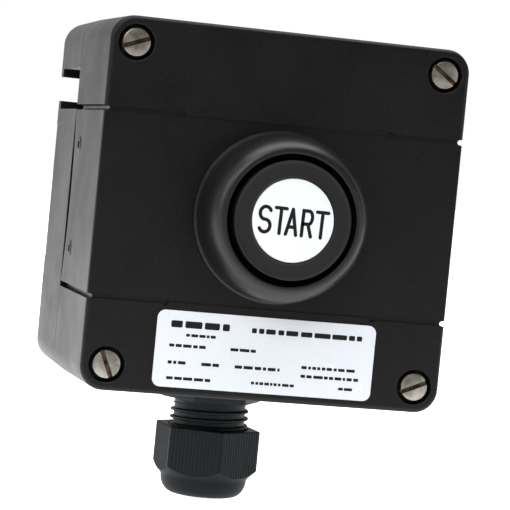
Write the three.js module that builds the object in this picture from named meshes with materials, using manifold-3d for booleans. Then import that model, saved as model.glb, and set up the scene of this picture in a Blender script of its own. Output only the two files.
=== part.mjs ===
// Single push button station: a square moulded box in two halves, a guarded flush push button with its
// contact block on the front half, and a cable gland under the rear half.
// Units are millimetres. Every piece is built in the box frame: the origin is the centre of the rear
// mounting face, +x is right, +y is up and +z points out of the wall, towards the person who presses.
// The root group then turns that frame so that the exported part has +Z up and its front facing -Y.
import * as THREE from "three";
import { mergeVertices } from "three/addons/utils/BufferGeometryUtils.js";
import Module from "manifold-3d";

const wasm = await Module();
wasm.setup();

// ---- Driving dimensions -------------------------------------------------------------------------

// Box
const FACE_HALF = 46; // half width and half height of the front face
const SEAM_HALF = 46.35; // the same at the joint between the halves, wider by the mould draft
const BACK_HALF = 46.2; // the same at the rear mounting face
const CORNER_RADIUS = 6;
const BOX_DEPTH = 74.5;
const SEAM_Z = 33.5; // height of the joint above the wall
const SEAM_GAP = 0.3;
const COVER_WALL = 4;
const REAR_WALL = 4.5;
const CHAMBER_HALF = 42; // half width of the sealed inner chamber
const PLAIN_CORNER = 32.3; // where the solid corners start, on both sides of the corner
const SLOT_CORNER_X = 30.3; // the same for the two corners that also hold a mounting recess
const SLOT_CORNER_Y = 18.3;
const SIDE_PANEL = { halfHeight: 19, depth: 0.35 }; // shallow panel in each side of the rear housing
// Offsets from the chamber's outline of the gasket and of the groove that it lies in
const GASKET = { inner: 1.2, outer: 2.8, thickness: 1.75 };
const GASKET_GROOVE = { inner: 0.9, outer: 3.1, depth: 2 };

// Front face
const ZONE_HALF = 23; // the middle zone of the face lies between y = -23 and y = +23
const ZONE_RECESS = 0.35;
const GROOVE_WIDTH = 1.4; // groove down the cover's side at both edges of the zone
const CHANNEL = { length: 19.5, depth: 0.55, endRadius: 1, endDepth: 0.75 }; // it runs on over the face
const FRONT_EDGE = 1.2; // radius of the edge round the front face
const SIDE_BOSS = { y: 13.3, z: SEAM_Z + 9.7, half: [0.45, 2.4, 2.2], slit: [1.2, 1.7, 2.2] };
const ARCH = { halfSpan: 22, rise: 3, depth: 1.2 }; // lip in the cover's rear edge, between the grooves
const LABEL = { width: 56, height: 19, y: -34.4, radius: 2, thickness: 0.3 };

// Cover screws: M4 cheese head, captive in the corners
const SCREW_SPACING = 79;
const SCREW = { head: 3.5, headHeight: 2.6, shank: 2, hole: 2.5, length: 52, slot: 1.1, slotDepth: 1.1 };
const SCREW_HOLE_END = 10; // bottom of the screw holes in the rear housing
const SCREW_TURNS = { top_left: 21, top_right: -36, bottom_left: -67, bottom_right: 23 }; // degrees
const COUNTERBORE = { radius: 4.4, depth: 4.15 };
const INSERT = { radius: 3, bore: 2.25, length: 8 };

// Mounting recesses, top left and bottom right
const RECESS = { inner: 34.2, low: 22.5, high: 33.3 };
const SLOT_HALF_WIDTH = 3.25;
const SLOT_END = 39; // distance of the slot's round end from the box centre

// Button
const BUTTON_TRAVEL = 4;
const COLLAR = {
  flange: 21.5, root: 20.9, top: 14.2, bore: 16.15, floor: 0.8, shank: 14.9, shankLength: 12, stemHole: 4.3,
};
const COLLAR_GASKET = { inner: 17.5, outer: 20, top: 0.65 };
const LOCK_NUT = { lug: 19, notch: 17.4, lugs: 8, thickness: 4.5 };
const CAP = { radius: 14.55, top: 15.2, recess: 10.5, recessDepth: 1.2, skirt: 6, wall: 1.55, plate: 2.5 };
const DISC = { radius: 10.2, top: 15, thickness: 0.75 };
const STEM_RADIUS = 3.5;
const STEM_END = -11.3; // rear end of the stem from the front face: pressed, it just clears the block
const RETURN_SPRING = { radius: 5.3, wire: 1, rear: -9.7, front: 7.7, turns: 5 };

// Contact block
const BLOCK = { halfX: 15, halfY: 20, front: 58.9, rear: 31.1, corner: 1.5, coverPlate: 1.8 };
const ADAPTER = { halfX: 18, halfY: 20, corner: 2, skirt: 17.2, overlap: 2.6, hole: 5 };
const SWITCH_CHAMBER = { halfX: 12, halfY: 10.5, roof: 2, plungerHole: 3.4 };
const TERMINAL_POCKET = { halfX: 2.8, inner: 9, outer: 17.6, front: 52.4, access: 3.1 };
const WIRE_MOUTH = { halfX: 2, inner: 17, rear: 41.4, front: 45.4 };
const CONTACT_X = 7.5;
const TERMINAL_Y = 14.2;
const STRIP = 0.8; // thickness of the contact strips and bridges
const FIXED_CONTACT = { inner: 5.6, riser: 10.6, outer: 17.2, terminalZ: 40, width: 5, hole: 1.9 };
const TERMINAL_SCREW = { head: 2.4, shank: 1.6, length: 6, slot: 0.8 };
const BRIDGE_FRONT = 50.5;
const BRIDGE = { width: 4, length: 18 };
const PLUNGER = { radius: 2.9, rear: 42, windowHalf: 2.3 };
const PLUNGER_ARM = { halfX: 10, halfY: 2, rear: 42.5, front: 53 };
const CONTACT_SPRING = { radius: 2.2, wire: 0.6, rear: 31.3, front: 41.7, turns: 4 };

// Earth terminal
const EARTH = { x: 20, y: 26, boss: 4.5, bossTop: 9, hole: 2.1 };
const EARTH_PLATE = { halfX: 7, halfY: 5, corner: 0.8, rear: 9.3, front: 10.5 };
const EARTH_WASHER = { half: 4, corner: 0.6, rear: 10.8, front: 11.8 };
const EARTH_SCREW = { tip: 5.4, shank: 1.75, head: 3.6, seat: 12.1, front: 14.3, slot: 1, slotDepth: 1.1 };

// Gland
const GLAND_Z = (REAR_WALL + SEAM_Z) / 2 - 0.25; // height of its axis, in the middle of the bottom wall
const GLAND = {
  start: 34, entry: 9.9, entryHole: 10.3, flangeTop: 47.4, neck: 52, threadStart: 53.3, end: 67.1,
  crest: 10.65, root: 9.7, pitch: 2.1, bore: 6.8, seat: 8.2, seatDepth: 10, flats: 24,
};
const NUT = {
  flats: 25.4, turn: -4.4, top: 59.4, shoulder: 70, domeTop: 72.8, domeRadius: 11.7, domeEnd: 8, end: 78,
  mouth: 6.5,
};
const GLAND_LOCK_NUT = { top: 37, end: 41.7 };
const FLANGE_SEAL = { inner: 10.2, outer: 11.6, top: 46.55, end: 47.15 };
const GLAND_SEAL = { inner: 5.2, outer: 7.9, top: 58, end: 67.7 };
const THRUST_RING = { inner: 6.6, outer: 7.8, flange: 9.6, top: 68, flangeTop: 71.6, end: 72.3 };

const ROUND = 24; // segments of an ordinary round piece
const CLEARANCE = 0.3; // gap between pieces that touch or screw together on the real thing

// ---- Solids -------------------------------------------------------------------------------------

function solid(geometry) {
  const bare = geometry.clone();
  bare.deleteAttribute("normal");
  bare.deleteAttribute("uv");
  const merged = mergeVertices(bare, 1e-4);
  const mesh = new wasm.Mesh({
    numProp: 3,
    vertProperties: new Float32Array(merged.attributes.position.array),
    triVerts: new Uint32Array(merged.index.array),
  });
  return new wasm.Manifold(mesh);
}

function geometryOf(manifold) {
  const mesh = manifold.getMesh();
  const geometry = new THREE.BufferGeometry();
  geometry.setAttribute("position", new THREE.BufferAttribute(mesh.vertProperties, 3));
  geometry.setIndex(new THREE.BufferAttribute(mesh.triVerts, 1));
  return geometry;
}

function join(first, ...others) {
  return others.reduce((whole, piece) => whole.add(solid(piece)), solid(first));
}

function cut(whole, ...tools) {
  return tools.reduce((left, tool) => left.subtract(solid(tool)), whole);
}

// A block between two opposite corners, whose x and y may come in either order.
function block(x0, x1, y0, y1, z0, z1) {
  const box = new THREE.BoxGeometry(Math.abs(x1 - x0), Math.abs(y1 - y0), z1 - z0);
  return box.translate((x0 + x1) / 2, (y0 + y1) / 2, (z0 + z1) / 2);
}

// A shape drawn in x and y, as a plate from z0 to z1.
function plate(shape, z0, z1) {
  const geometry = new THREE.ExtrudeGeometry(shape, {
    depth: z1 - z0,
    bevelEnabled: false,
    curveSegments: 4,
  });
  return geometry.translate(0, 0, z0);
}

function rod(radius, z0, z1, x = 0, y = 0, segments = ROUND) {
  const cylinder = new THREE.CylinderGeometry(radius, radius, z1 - z0, segments);
  return cylinder.rotateX(Math.PI / 2).translate(x, y, (z0 + z1) / 2);
}

// A profile of [radius, z] pairs turned about the z axis. An open profile starts and ends on the axis.
// A ring's profile is closed by repeating its first point. Both run with rising z on the outside.
function turned(profile, segments = ROUND) {
  const points = profile.map(([radius, z]) => new THREE.Vector2(radius, z));
  return new THREE.LatheGeometry(points, segments).rotateX(Math.PI / 2);
}

function ring(inner, outer, z0, z1, segments = ROUND) {
  return turned([[inner, z0], [outer, z0], [outer, z1], [inner, z1], [inner, z0]], segments);
}

function roundedRectangle(halfX, halfY, radius) {
  const shape = new THREE.Shape();
  shape.absarc(halfX - radius, halfY - radius, radius, 0, Math.PI / 2);
  shape.absarc(radius - halfX, halfY - radius, radius, Math.PI / 2, Math.PI);
  shape.absarc(radius - halfX, radius - halfY, radius, Math.PI, 1.5 * Math.PI);
  shape.absarc(halfX - radius, radius - halfY, radius, 1.5 * Math.PI, 2 * Math.PI);
  return shape;
}

// A polygon with every corner rounded by a curve that starts a set distance before it.
function roundedPolygon(corners, reach) {
  const shape = new THREE.Shape();
  corners.forEach((corner, i) => {
    const before = corners[(i + corners.length - 1) % corners.length];
    const after = corners[(i + 1) % corners.length];
    const start = corner.clone().add(before.clone().sub(corner).setLength(reach));
    const end = corner.clone().add(after.clone().sub(corner).setLength(reach));
    if (i === 0) shape.moveTo(start.x, start.y);
    else shape.lineTo(start.x, start.y);
    shape.quadraticCurveTo(corner.x, corner.y, end.x, end.y);
  });
  shape.closePath();
  return shape;
}

function hexagon(acrossFlats, firstCornerAngle) {
  const cornerRadius = acrossFlats / Math.sqrt(3);
  const shape = new THREE.Shape();
  for (let i = 0; i < 6; i += 1) {
    const angle = firstCornerAngle + (i * Math.PI) / 3;
    const x = cornerRadius * Math.cos(angle);
    const y = cornerRadius * Math.sin(angle);
    if (i === 0) shape.moveTo(x, y);
    else shape.lineTo(x, y);
  }
  shape.closePath();
  return shape;
}

// A skin over square sections with rounded corners, given as [z, half width, corner radius].
function loftedSquare(sections) {
  const STEPS = 4;
  const count = 4 * (STEPS + 1);
  const positions = [];
  const index = [];
  for (const [z, half, radius] of sections) {
    for (let i = 0; i < count; i += 1) {
      const quarter = Math.floor(i / (STEPS + 1));
      const angle = (quarter + (i % (STEPS + 1)) / STEPS) * (Math.PI / 2);
      const middle = (quarter + 0.5) * (Math.PI / 2);
      const centre = (half - radius) * Math.SQRT2;
      positions.push(centre * Math.cos(middle) + radius * Math.cos(angle));
      positions.push(centre * Math.sin(middle) + radius * Math.sin(angle), z);
    }
  }
  const last = (sections.length - 1) * count;
  const bottomCentre = positions.length / 3;
  positions.push(0, 0, sections[0][0]);
  positions.push(0, 0, sections[sections.length - 1][0]);
  for (let i = 0; i < count; i += 1) {
    const next = (i + 1) % count;
    index.push(bottomCentre, next, i, bottomCentre + 1, last + i, last + next);
    for (let low = 0; low < last; low += count) {
      const high = low + count;
      index.push(low + i, low + next, high + next, low + i, high + next, high + i);
    }
  }
  const geometry = new THREE.BufferGeometry();
  geometry.setAttribute("position", new THREE.Float32BufferAttribute(positions, 3));
  geometry.setIndex(index);
  return geometry;
}

class Helix extends THREE.Curve {
  constructor(radius, z0, z1, turns) {
    super();
    Object.assign(this, { radius, z0, z1, turns });
  }

  getPoint(t, target = new THREE.Vector3()) {
    const angle = 2 * Math.PI * this.turns * t;
    const z = THREE.MathUtils.lerp(this.z0, this.z1, t);
    return target.set(this.radius * Math.cos(angle), this.radius * Math.sin(angle), z);
  }
}

function coilSpring({ radius, wire, rear, front, turns }) {
  const section = new THREE.Shape();
  section.absarc(0, 0, wire / 2, 0, 2 * Math.PI);
  const path = new Helix(radius, rear + wire / 2, front - wire / 2, turns);
  return new THREE.ExtrudeGeometry(section, { steps: 9 * turns, curveSegments: 3, extrudePath: path });
}

// ---- Box ----------------------------------------------------------------------------------------

const screwPlaces = Object.fromEntries(
  Object.keys(SCREW_TURNS).map((name) => {
    const x = (name.endsWith("left") ? -1 : 1) * (SCREW_SPACING / 2);
    const y = (name.startsWith("top") ? 1 : -1) * (SCREW_SPACING / 2);
    return [name, { x, y }];
  }),
);

// Outline of the sealed chamber, grown outwards by an offset. The four corners stay solid for the screws,
// and the top left and bottom right ones are larger, for the mounting recesses.
function chamberOutline(offset, reach) {
  const side = CHAMBER_HALF + offset;
  const plain = PLAIN_CORNER + offset;
  const slotX = SLOT_CORNER_X + offset;
  const slotY = SLOT_CORNER_Y + offset;
  const half = [
    [side, -slotY], [side, plain], [plain, plain], [plain, side], [-slotX, side], [-slotX, slotY],
  ];
  const corners = [...half, ...half.map(([x, y]) => [-x, -y])];
  return roundedPolygon(corners.map(([x, y]) => new THREE.Vector2(x, y)), reach);
}

function chamber(z0, z1) {
  return plate(chamberOutline(0, 3), z0, z1);
}

// A rounded slot that is open at the box's side, at the given side (-1 left, 1 right).
function sideSlot(side, innerX, y, halfWidth, z0, z1) {
  const shape = new THREE.Shape();
  const turn = side > 0 ? Math.PI / 2 : -Math.PI / 2;
  const outerX = side * (SEAM_HALF + 2);
  shape.moveTo(outerX, y + side * halfWidth);
  shape.lineTo(side * innerX, y + side * halfWidth);
  shape.absarc(side * innerX, y, halfWidth, turn, turn + Math.PI);
  shape.lineTo(outerX, y - side * halfWidth);
  shape.closePath();
  return plate(shape, z0, z1);
}

function rearHousing() {
  const rim = SEAM_Z - SEAM_GAP / 2;
  let housing = solid(
    loftedSquare([
      [0, BACK_HALF - 0.8, CORNER_RADIUS - 0.6],
      [0.25, BACK_HALF - 0.25, CORNER_RADIUS - 0.2],
      [0.9, BACK_HALF, CORNER_RADIUS],
      [rim, SEAM_HALF, CORNER_RADIUS],
    ]),
  );
  housing = cut(housing, chamber(REAR_WALL, rim + 1));

  for (const side of [-1, 1]) {
    const panel = side * (SEAM_HALF - SIDE_PANEL.depth);
    const half = SIDE_PANEL.halfHeight;
    housing = cut(housing, block(panel, side * (SEAM_HALF + 1), -half, half, -1, rim - 2));
  }

  const groove = chamberOutline(GASKET_GROOVE.outer, 4.5);
  groove.holes.push(chamberOutline(GASKET_GROOVE.inner, 3.4));
  housing = cut(housing, plate(groove, rim - GASKET_GROOVE.depth, rim + 1));

  // Holes for the threaded inserts, and for the screw ends below them
  for (const { x, y } of Object.values(screwPlaces)) {
    housing = cut(housing, rod(INSERT.radius + CLEARANCE, rim - INSERT.length - 0.7, rim + 1, x, y, 20));
    housing = cut(housing, rod(SCREW.hole, SCREW_HOLE_END, rim, x, y, 16));
  }

  // Mounting recesses with a slot open to the side
  const middle = (RECESS.low + RECESS.high) / 2;
  for (const side of [-1, 1]) {
    const outer = side * (SEAM_HALF + 2);
    const y0 = -side * RECESS.low;
    const y1 = -side * RECESS.high;
    const pocket = block(side * RECESS.inner, outer, y0, y1, REAR_WALL, rim + 1);
    const slot = sideSlot(side, SLOT_END, -side * middle, SLOT_HALF_WIDTH, -1, REAR_WALL + 1);
    housing = cut(housing, pocket, slot);
  }

  // Cable entry through the bottom wall
  const entry = rod(GLAND.entryHole, -6, 6).rotateX(Math.PI / 2).translate(0, -SEAM_HALF + 2, GLAND_Z);
  housing = cut(housing, entry);

  // Boss for the earth terminal
  const { x, y, boss, bossTop, hole } = EARTH;
  housing = housing.add(solid(rod(boss, REAR_WALL - 1, bossTop, x, y, 16)));
  return cut(housing, rod(hole, REAR_WALL + 0.5, bossTop + 1, x, y, 12));
}

function frontCover() {
  const rim = SEAM_Z + SEAM_GAP / 2;
  const sections = [[rim, SEAM_HALF, CORNER_RADIUS]];
  for (let step = 0; step <= 3; step += 1) {
    const angle = (step / 3) * (Math.PI / 2);
    const inset = FRONT_EDGE * (1 - Math.cos(angle));
    const z = BOX_DEPTH - FRONT_EDGE * (1 - Math.sin(angle));
    sections.push([z, FACE_HALF - inset, CORNER_RADIUS - inset]);
  }
  const bosses = [-1, 1].flatMap((side) => [-1, 1].map((level) => sideBoss(side, level)));
  let cover = join(loftedSquare(sections), ...bosses.map(({ bump }) => bump));
  cover = cut(cover, ...bosses.map(({ slit }) => slit));
  cover = cut(cover, chamber(rim - 1, BOX_DEPTH - COVER_WALL));

  // Middle zone of the face, with the grooves and the short channels that mark its edges
  const zoneFloor = BOX_DEPTH - ZONE_RECESS;
  const zoneSide = FACE_HALF + 2;
  cover = cut(cover, block(-zoneSide, zoneSide, -ZONE_HALF, ZONE_HALF, zoneFloor, BOX_DEPTH + 1));
  for (const side of [-1, 1]) {
    for (const y of [-ZONE_HALF, ZONE_HALF]) {
      const half = GROOVE_WIDTH / 2;
      const channelEnd = FACE_HALF - CHANNEL.length;
      const above = BOX_DEPTH + 1;
      cover = cut(
        cover,
        sideSlot(side, FACE_HALF - half, y, half, rim - 1, above),
        sideSlot(side, channelEnd, y, half * 0.8, BOX_DEPTH - CHANNEL.depth, above),
        rod(CHANNEL.endRadius, BOX_DEPTH - CHANNEL.endDepth, above, side * channelEnd, y, 12),
      );
    }
    cover = cut(cover, seamArch(side, rim));
  }

  // Hole for the collar, and the screw holes with their counterbores
  const collarHole = rod(COLLAR.shank + CLEARANCE, BOX_DEPTH - COVER_WALL - 1, BOX_DEPTH + 1, 0, 0, 40);
  cover = cut(cover, collarHole);
  for (const { x, y } of Object.values(screwPlaces)) {
    cover = cut(
      cover,
      rod(SCREW.hole, rim - 1, BOX_DEPTH + 1, x, y, 16),
      rod(COUNTERBORE.radius, BOX_DEPTH - COUNTERBORE.depth, BOX_DEPTH + 1, x, y, 24),
    );
  }
  return cover;
}

// A low lens-shaped boss on the cover's side wall, near the joint, and the slit in its middle.
function sideBoss(side, level) {
  const { y, z, half, slit } = SIDE_BOSS;
  const x = side * (SEAM_HALF - 0.15);
  const bump = new THREE.SphereGeometry(1, 10, 6).scale(...half).translate(x, level * y, z);
  const slitTool = new THREE.BoxGeometry(...slit).translate(x, level * y, z);
  return { bump, slit: slitTool };
}

// The cover's rear edge rises in a shallow arch between the grooves, as a lip to lift it by.
function seamArch(side, rim) {
  const { halfSpan, rise, depth } = ARCH;
  const shape = new THREE.Shape();
  shape.moveTo(-halfSpan, rim - 1);
  shape.lineTo(halfSpan, rim - 1);
  shape.lineTo(halfSpan, rim);
  shape.quadraticCurveTo(0, rim + 2 * rise, -halfSpan, rim);
  shape.closePath();
  const beyond = 0.4; // how far the tool stands out of the wall
  const length = depth + beyond;
  const arch = new THREE.ExtrudeGeometry(shape, { depth: length, bevelEnabled: false, curveSegments: 6 });
  const x = side > 0 ? SEAM_HALF - depth : -SEAM_HALF - beyond;
  // (x, y, z) becomes (z, x, y): the arch is drawn over y and z, and runs through the wall along x
  return arch.applyMatrix4(new THREE.Matrix4().set(0, 0, 1, x, 1, 0, 0, 0, 0, 1, 0, 0, 0, 0, 0, 1));
}

function coverGasket() {
  const outline = chamberOutline(GASKET.outer, 4.4);
  outline.holes.push(chamberOutline(GASKET.inner, 3.6));
  const top = SEAM_Z - 0.1;
  return plate(outline, top - GASKET.thickness, top);
}

function coverScrew() {
  const { head, headHeight, shank, length, slot, slotDepth } = SCREW;
  const body = turned(
    [
      [0, -length], [shank - 0.7, -length], [shank, 0.8 - length], [shank, 0], [head, 0],
      [head, headHeight - 0.3], [head - 0.3, headHeight], [0, headHeight],
    ],
    20,
  );
  const half = slot / 2;
  return cut(solid(body), block(-5, 5, -half, half, headHeight - slotDepth, headHeight + 1));
}

// ---- Button -------------------------------------------------------------------------------------

// Heights in this section are measured outwards from the front face.
function collar() {
  const { flange, root, top, bore, floor, shank, shankLength, stemHole } = COLLAR;
  const { inner, outer } = COLLAR_GASKET;
  const seat = 0.2 - ZONE_RECESS; // underside of the flange, just above the recessed middle zone
  const profile = [
    [stemHole, -shankLength], [shank, -shankLength], [shank, seat],
    [inner - 0.3, seat], [inner - 0.3, 0.95], [outer + 0.3, 0.95], [outer + 0.3, seat], // gasket groove
    [flange, seat], [flange, 0.7], [flange - 0.25, 0.95], [root + 0.05, 1.15],
  ];
  // The guard bulges out as a quarter ellipse from its root to its rounded top
  const crown = { radius: 16.8, z: 3.5 };
  for (let step = 0; step <= 6; step += 1) {
    const angle = (step / 6) * THREE.MathUtils.degToRad(86);
    const radius = crown.radius + (root - crown.radius) * Math.cos(angle);
    profile.push([radius, crown.z + (top - crown.z) * Math.sin(angle)]);
  }
  profile.push([bore + 0.25, top], [bore, top - 0.25], [bore, floor], [10, floor], [10, 2 - shankLength]);
  profile.push([stemHole, 2 - shankLength], [stemHole, -shankLength]);
  return turned(profile, 40);
}

function collarLockNut() {
  const { lug, notch, lugs, thickness } = LOCK_NUT;
  const outer = new THREE.Shape();
  for (let i = 0; i < lugs; i += 1) {
    const start = (i * 2 * Math.PI) / lugs;
    outer.absarc(0, 0, lug, start, start + Math.PI / lugs + 0.12);
    outer.absarc(0, 0, notch, start + Math.PI / lugs + 0.16, start + (2 * Math.PI) / lugs - 0.04);
  }
  outer.closePath();
  const body = new THREE.ExtrudeGeometry(outer, { depth: thickness, bevelEnabled: false, curveSegments: 3 });
  return cut(solid(body), rod(COLLAR.shank + CLEARANCE, -1, thickness + 1, 0, 0, 32));
}

function cap() {
  const { radius, top, recess, recessDepth, skirt, wall, plate: thickness } = CAP;
  return turned(
    [
      [0, top - thickness], [radius - wall, top - thickness], [radius - wall, skirt], [radius - 0.2, skirt],
      [radius, skirt + 0.2], [radius, top - 0.3], [radius - 0.3, top], [recess + 0.15, top],
      [recess, top - 0.15], [recess, top - recessDepth], [0, top - recessDepth],
    ],
    36,
  );
}

function legendDisc() {
  const { radius, top, thickness } = DISC;
  const edge = 0.1;
  return turned(
    [[0, top - thickness], [radius, top - thickness], [radius, top - edge], [radius - edge, top], [0, top]],
    36,
  );
}

function stem() {
  return turned(
    [
      [0, STEM_END], [STEM_RADIUS - 0.5, STEM_END], [STEM_RADIUS, STEM_END + 0.5], [STEM_RADIUS, 8], [6.5, 8],
      [6.5, 9.6], [4.5, 9.6], [4.5, 11.2], [9, 11.2], [9, 12.4], [0, 12.4],
    ],
  );
}

function sealingBoot() {
  return turned(
    [
      [12.6, 1.1], [15.8, 1.1], [15.8, 1.9], [13.2, 1.9], [12.2, 3.4], [7.8, 8.6], [7.8, 9.4], [6.8, 9.4],
      [6.8, 8.2], [11.2, 3], [12.6, 1.1],
    ],
    28,
  );
}

// ---- Contact block ------------------------------------------------------------------------------

function blockAdapter() {
  const { halfX, halfY, corner, skirt, overlap, hole } = ADAPTER;
  const shankEnd = BOX_DEPTH - COLLAR.shankLength;
  const base = plate(roundedRectangle(halfX, halfY, corner), BLOCK.front + CLEARANCE, shankEnd - CLEARANCE);
  const grip = ring(COLLAR.shank + CLEARANCE, skirt, BLOCK.front + 2, shankEnd + overlap, 28);
  return cut(join(base, grip), rod(hole, BLOCK.front - 1, shankEnd + 1, 0, 0, 16));
}

function blockHousing() {
  const { halfX, halfY, front, rear, corner } = BLOCK;
  const { roof, plungerHole } = SWITCH_CHAMBER;
  const body = solid(plate(roundedRectangle(halfX, halfY, corner), rear, front));
  const { halfX: x1, halfY: y1 } = SWITCH_CHAMBER;
  const tools = [block(-x1, x1, -y1, y1, rear - 1, front - roof), rod(plungerHole, front - 4, front + 1)];
  const pocket = TERMINAL_POCKET;
  const mouth = WIRE_MOUTH;
  for (const x of [-CONTACT_X, CONTACT_X]) {
    for (const side of [-1, 1]) {
      const inner = side * pocket.inner;
      const outer = side * (halfY + 1);
      tools.push(
        block(x - pocket.halfX, x + pocket.halfX, inner, side * pocket.outer, rear - 1, pocket.front),
        block(x - mouth.halfX, x + mouth.halfX, side * mouth.inner, outer, mouth.rear, mouth.front),
      );
    }
  }
  return cut(body, ...tools);
}

function blockCover() {
  const { halfX, halfY, corner, coverPlate } = BLOCK;
  const front = BLOCK.rear - CLEARANCE;
  const whole = solid(plate(roundedRectangle(halfX, halfY, corner), front - coverPlate, front));
  const access = [];
  for (const x of [-CONTACT_X, CONTACT_X]) {
    for (const y of [-TERMINAL_Y, TERMINAL_Y]) {
      access.push(rod(TERMINAL_POCKET.access, front - 3, front + 1, x, y, 14));
    }
  }
  return cut(whole, ...access);
}

function contactPlunger() {
  const { radius, rear, windowHalf } = PLUNGER;
  const { halfX, halfY, rear: armRear, front: armFront } = PLUNGER_ARM;
  const front = BOX_DEPTH + STEM_END - CLEARANCE;
  const arm = block(-halfX, halfX, -halfY, halfY, armRear, armFront);
  const low = BRIDGE_FRONT - STRIP - CLEARANCE;
  const high = BRIDGE_FRONT + CLEARANCE;
  const windows = [-CONTACT_X, CONTACT_X].map((x) => block(x - windowHalf, x + windowHalf, -3, 3, low, high));
  return cut(join(rod(radius, rear, front, 0, 0, 16), arm), ...windows);
}

// A strip from the switching chamber to a terminal: inner leg, riser and outer leg, extruded along x.
function fixedContact(innerZ, side) {
  const { inner, riser, outer, terminalZ, width, hole } = FIXED_CONTACT;
  const shape = new THREE.Shape();
  shape.moveTo(inner, innerZ);
  shape.lineTo(riser, innerZ);
  shape.lineTo(riser, terminalZ);
  shape.lineTo(outer, terminalZ);
  shape.lineTo(outer, terminalZ + STRIP);
  shape.lineTo(riser + STRIP, terminalZ + STRIP);
  shape.lineTo(riser + STRIP, innerZ + STRIP);
  shape.lineTo(inner, innerZ + STRIP);
  shape.closePath();
  const strip = new THREE.ExtrudeGeometry(shape, { depth: width, bevelEnabled: false });
  strip.applyMatrix4(new THREE.Matrix4().set(0, 0, 1, -width / 2, 1, 0, 0, 0, 0, 1, 0, 0, 0, 0, 0, 1));
  const holed = cut(solid(strip), rod(hole, terminalZ - 1, terminalZ + 2, 0, TERMINAL_Y, 12));
  return side > 0 ? holed : holed.rotate([0, 0, 180]);
}

// A slotted screw that is turned from the wall side: its head is at z = 0 and its tip at z = length.
function terminalScrew() {
  const { head, shank, length, slot } = TERMINAL_SCREW;
  const body = turned(
    [[0, -2], [head - 0.3, -2], [head, -1.7], [head, 0], [shank, 0], [shank, length], [0, length]],
    14,
  );
  return cut(solid(body), block(-head - 1, head + 1, -slot / 2, slot / 2, -3, -1.1));
}

// ---- Earth terminal -----------------------------------------------------------------------------

function earthPlate() {
  const { halfX, halfY, corner, rear, front } = EARTH_PLATE;
  return cut(solid(plate(roundedRectangle(halfX, halfY, corner), rear, front)), earthHole());
}

function earthWasher() {
  const { half, corner, rear, front } = EARTH_WASHER;
  return cut(solid(plate(roundedRectangle(half, half, corner), rear, front)), earthHole());
}

function earthHole() {
  return rod(EARTH.hole, EARTH_PLATE.rear - 1, EARTH_WASHER.front + 1, 0, 0, 14);
}

function earthScrew() {
  const { tip, shank, head, seat, front, slot, slotDepth } = EARTH_SCREW;
  const body = turned(
    [
      [0, tip], [shank, tip], [shank, seat], [head, seat],
      [head, front - 0.5], [head - 0.5, front], [0, front],
    ],
    16,
  );
  return cut(solid(body), block(-head - 1, head + 1, -slot / 2, slot / 2, front - slotDepth, front + 1));
}

// ---- Cable gland --------------------------------------------------------------------------------

// In this section z is the distance below the box centre, along the gland's own axis.
function glandBody() {
  const { start, entry, flangeTop, neck, threadStart, end, flats } = GLAND;
  const { crest, root, pitch, bore, seat, seatDepth } = GLAND;
  const outline = [[bore, start], [entry - 0.5, start], [entry, start + 0.5], [entry, flangeTop]];
  outline.push([root, neck], [root, threadStart]);
  for (let z = threadStart; z + pitch < end + 0.5; z += pitch) {
    outline.push([crest, z + pitch * 0.4], [crest, z + pitch * 0.55], [root, z + pitch]);
  }
  outline.push([root, end], [seat, end], [seat, end - seatDepth], [bore, end - seatDepth - 1], [bore, start]);
  const flange = cut(solid(plate(hexagon(flats, 0), flangeTop, neck)), rod(9, flangeTop - 1, neck + 1));
  return solid(turned(outline)).add(flange);
}

function glandNut() {
  const { flats, turn, top, shoulder, domeTop, domeRadius, domeEnd, end, mouth } = NUT;
  const corner = flats / Math.sqrt(3);
  // The turned blank is as wide as the corners and runs down into the dome; the hexagon trims its sides
  const blank = [[0, top], [corner + 1, top], [corner + 1, shoulder - 1], [corner, shoulder]];
  blank.push([domeRadius + 0.35, domeTop], [domeRadius, domeTop + 0.5]);
  for (let step = 1; step <= 6; step += 1) {
    const angle = (step / 6) * (Math.PI / 2);
    const radius = domeEnd + (domeRadius - domeEnd) * Math.cos(angle);
    blank.push([radius, domeTop + 0.5 + (end - domeTop - 0.5) * Math.sin(angle)]);
  }
  blank.push([0, end]);
  const firstCorner = Math.PI / 2 + THREE.MathUtils.degToRad(turn);
  const prism = solid(plate(hexagon(flats, firstCorner), top, end + 1));
  const thread = GLAND.crest + CLEARANCE;
  const ceiling = domeTop - 0.2;
  const inside = turned([
    [0, top - 1], [thread, top - 1], [thread, ceiling],
    [mouth, ceiling + 2.3], [mouth, end + 1], [0, end + 1],
  ]);
  return cut(solid(turned(blank)).intersect(prism), inside);
}

function glandLockNut() {
  const { top, end } = GLAND_LOCK_NUT;
  return cut(solid(plate(hexagon(GLAND.flats, 0), top, end)), rod(GLAND.entry + CLEARANCE, top - 1, end + 1));
}

function thrustRing() {
  const { inner, outer, flange, top, flangeTop, end } = THRUST_RING;
  return turned([
    [inner, top], [outer, top], [outer, flangeTop], [flange, flangeTop],
    [flange, end], [inner, end], [inner, top],
  ]);
}

function sealRing({ inner, outer, top, end }) {
  return ring(inner, outer, top, end);
}

// ---- Assembly -----------------------------------------------------------------------------------

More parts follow.
